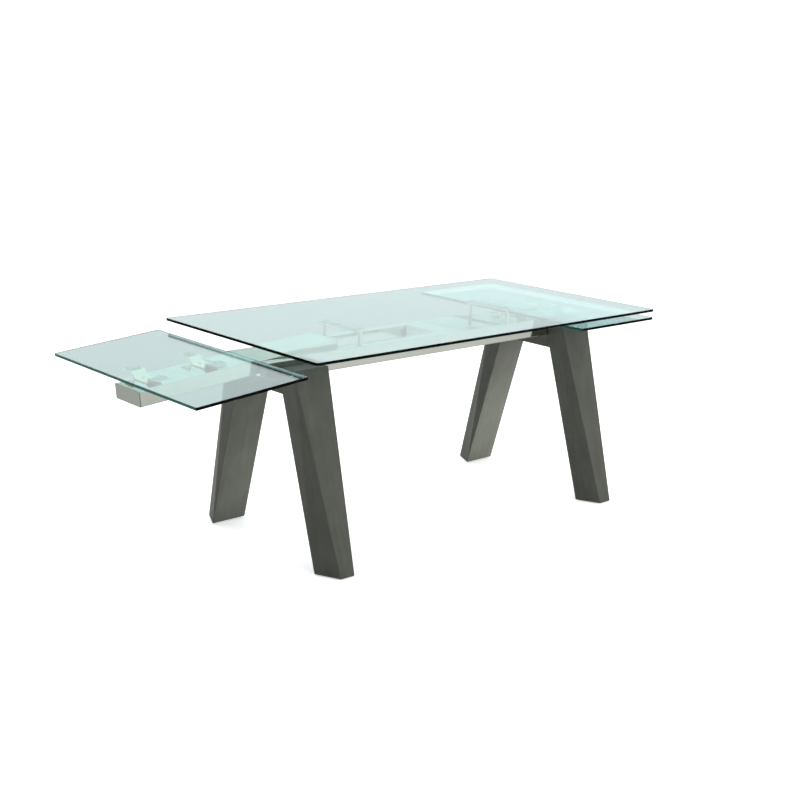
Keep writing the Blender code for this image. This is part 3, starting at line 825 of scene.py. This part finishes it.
def leaf_bumpers(word):
    """Small clear stops under a leaf's corners."""
    glass = f"{word}_leaf_glass"
    low, high = square_box(glass)
    top = low.z - CAP_SLACK
    profile = [(0, 0), (BUMPER_RADIUS, 0), (BUMPER_RADIUS * 0.9, BUMPER_HEIGHT * 0.6),
               (BUMPER_RADIUS * 0.6, BUMPER_HEIGHT), (0, BUMPER_HEIGHT)]
    for i, x in enumerate((low.x + BUMPER_FROM_END, high.x - BUMPER_FROM_END)):
        for side_word, y in (("front", low.y + BUMPER_FROM_SIDE), ("back", high.y - BUMPER_FROM_SIDE)):
            bm = turned_bmesh(profile, Vector((x, y, top)), "-Z", SMALL_ROUND)
            make_piece(f"{word}_{side_word}_bumper_{i + 1}", bm, MATERIALS["clear_pad"],
                       body_of(glass))


def saddle(node):
    """Nylon bearing block with eased edges."""
    low, high = square_box(node)
    bm = box_bmesh(low, high)
    ease(bm, SADDLE_EASING, 3)
    stand_in(node, bm, finish_of(node))


# ---------------------------------------------------------------- the table
def build_table():
    for node in ("main_glass", "left_leaf_glass", "right_leaf_glass"):
        glass_plate(node)
    for side_word in ("front", "back"):
        rail(f"{side_word}_rail")
    for word, end in (("left", -1), ("right", 1)):
        cross_beam(f"{word}_cross_beam")
        plain_plate(f"{word}_bridge", BRIDGE_EASING)
        plain_plate(f"{word}_bridge_pad", PAD_EASING)
        bridge_buttons(word)
        for side_word in ("front", "back"):
            rail_cap(f"{side_word}_rail_cap_{word}")
            leg(f"{side_word}_{word}_leg", side_word)
            glide(f"{side_word}_{word}_glide")
            bolt(f"{side_word}_{word}_bolt")
            post(f"{side_word}_{word}_post")
            roller(f"{side_word}_{word}_roller")
            for place in ("inner", "outer"):
                plain_plate(f"{side_word}_{word}_{place}_pad", PAD_EASING)
        beam(f"{word}_beam")
        # The nose caps' darker satin steel is painted shade on the beams' ends.
        beam_cap(f"{word}_nose_cap", end, SATIN_STEEL_PAINTED_SHADE)
        beam_cap(f"{word}_inner_cap", -end, finish_of(f"{word}_inner_cap"))
        guide_pin(f"{word}_guide_pin")
        guide_pin(f"{word}_saddle_pin")
        saddle(f"{word}_saddle")
        for place in ("inner", "outer"):
            support(f"{word}_{place}_support")
            support_screws(f"{word}_{place}_support")
        leaf_bumpers(word)


def finish_cad_nodes():
    """Gives every CAD node the material of its slot, in case one shows."""
    for name, node in frame["nodes"].items():
        node.data.materials.clear()
        node.data.materials.append(finish_of(name))


# ---------------------------------------------------------------- studio
def studio_floor():
    bm = bmesh.new()
    bmesh.ops.create_grid(bm, x_segments=FLOOR_CELLS, y_segments=FLOOR_CELLS, size=FLOOR_HALF_SIDE)
    mesh = bpy.data.meshes.new("floor")
    bm.to_mesh(mesh)
    bm.free()
    mesh.materials.append(floor_material())
    floor = bpy.data.objects.new("floor", mesh)
    bpy.context.scene.collection.objects.link(floor)


def studio_world():
    """A white studio: brightest overhead, dim towards -X and -Y. The camera itself sees plain white."""
    world = bpy.data.worlds.new("studio")
    world.use_nodes = True
    bpy.context.scene.world = world
    tree = world.node_tree
    link = tree.links.new
    background = tree.nodes["Background"]
    direction = tree.nodes.new("ShaderNodeTexCoord").outputs["Generated"]
    parts = tree.nodes.new("ShaderNodeSeparateXYZ")
    link(direction, parts.inputs[0])

    def ramped(value, span, low, high):
        node = tree.nodes.new("ShaderNodeMapRange")
        node.interpolation_type = "SMOOTHSTEP"
        settings = (("From Min", span[0]), ("From Max", span[1]), ("To Min", low), ("To Max", high))
        for key, number in settings:
            node.inputs[key].default_value = number
        link(value, node.inputs["Value"])
        return node.outputs["Result"]

    def combined(operation, first, second):
        node = tree.nodes.new("ShaderNodeMath")
        node.operation = operation
        link(first, node.inputs[0])
        link(second, node.inputs[1])
        return node.outputs["Value"]

    sideways = ramped(parts.outputs["X"], SKY_SIDE_RANGE, SKY_DIM_SIDE, 1.0)
    frontways = ramped(parts.outputs["Y"], SKY_FRONT_RANGE, SKY_DIM_FRONT, 1.0)
    low = ramped(parts.outputs["Z"], SKY_LOW_RANGE, SKY_HORIZON, SKY_MIDDLE)
    high = ramped(parts.outputs["Z"], SKY_HIGH_RANGE, 0.0, SKY_OVERHEAD - SKY_MIDDLE)
    product = combined("MULTIPLY", combined("MULTIPLY", sideways, frontways), combined("ADD", low, high))
    seen = tree.nodes.new("ShaderNodeMix")
    seen.data_type = "FLOAT"
    link(tree.nodes.new("ShaderNodeLightPath").outputs["Is Camera Ray"], seen.inputs["Factor"])
    link(product, seen.inputs[2])
    seen.inputs[3].default_value = SKY_TO_CAMERA
    background.inputs["Color"].default_value = (1.0, 1.0, 1.0, 1)
    link(seen.outputs[0], background.inputs["Strength"])


def soft_light(name, location, target, size, power):
    """A rectangular softbox that shows neither to the camera, in a reflection nor through glass."""
    lamp = bpy.data.lights.new(name, "AREA")
    lamp.shape = "RECTANGLE"
    lamp.size, lamp.size_y = size
    lamp.energy = power
    light = bpy.data.objects.new(name, lamp)
    bpy.context.scene.collection.objects.link(light)
    light.location = location
    light.rotation_mode = "QUATERNION"
    light.rotation_quaternion = (Vector(target) - Vector(location)).to_track_quat("-Z", "Y")
    light.visible_camera = False
    light.visible_transmission = False
    light.visible_glossy = False
    return light


def low_fill(name, location, target, power):
    """A narrow light near the floor that lifts the legs' downward faces and nothing else."""
    light = soft_light(name, location, target, LOW_FILL_SIZE, power)
    light.data.spread = LOW_FILL_SPREAD
    lit = bpy.data.collections.new(f"{name}_lights")
    for side_word in ("front", "back"):
        for word in ("left", "right"):
            lit.objects.link(bpy.data.objects[f"{side_word}_{word}_leg_finished"])
    light.light_linking.receiver_collection = lit


def studio_camera():
    """The view, placed from the middle of the fixed top at floor level."""
    top = middle_of("main_glass")
    forward = Vector((math.sin(CAMERA_AZIMUTH) * math.cos(CAMERA_ELEVATION),
                      math.cos(CAMERA_AZIMUTH) * math.cos(CAMERA_ELEVATION), -math.sin(CAMERA_ELEVATION)))
    right = forward.cross(Vector((0, 0, 1))).normalized()
    up = right.cross(forward)
    cos, sin = math.cos(CAMERA_ROLL), math.sin(CAMERA_ROLL)
    rolled_right = right * cos + up * sin
    rolled_up = up * cos - right * sin
    camera = bpy.data.cameras.new("camera")
    camera.lens = CAMERA_LENS
    camera.sensor_width = CAMERA_SENSOR
    camera.clip_end = CAMERA_SIGHT
    made = bpy.data.objects.new("camera", camera)
    bpy.context.scene.collection.objects.link(made)
    turn = Matrix((rolled_right, rolled_up, -forward)).transposed().to_4x4()
    place = Vector((top.x, top.y, 0)) + CAMERA_FROM_TOP_CENTRE
    made.matrix_world = Matrix.Translation(place) @ turn
    bpy.context.scene.camera = made


build_table()
finish_cad_nodes()
studio_floor()
studio_world()
soft_light("key_softbox", location=(1.8, -3.3, 1.8), target=(0.1, 0.3, 0.45), size=(3.0, 1.6), power=36)
soft_light("back_softbox", location=(1.5, 3.0, 3.8), target=(0.2, 0.0, 0.4), size=(4.0, 2.5), power=15)
low_fill("right_low_fill", location=(1.45, -0.12, 0.06), target=(0.70, 0.38, 0.12), power=4.6)
low_fill("left_low_fill", location=(0.20, -0.12, 0.06), target=(-0.55, 0.38, 0.12), power=1.8)
studio_camera()
bpy.context.scene.view_settings.view_transform = "Standard"
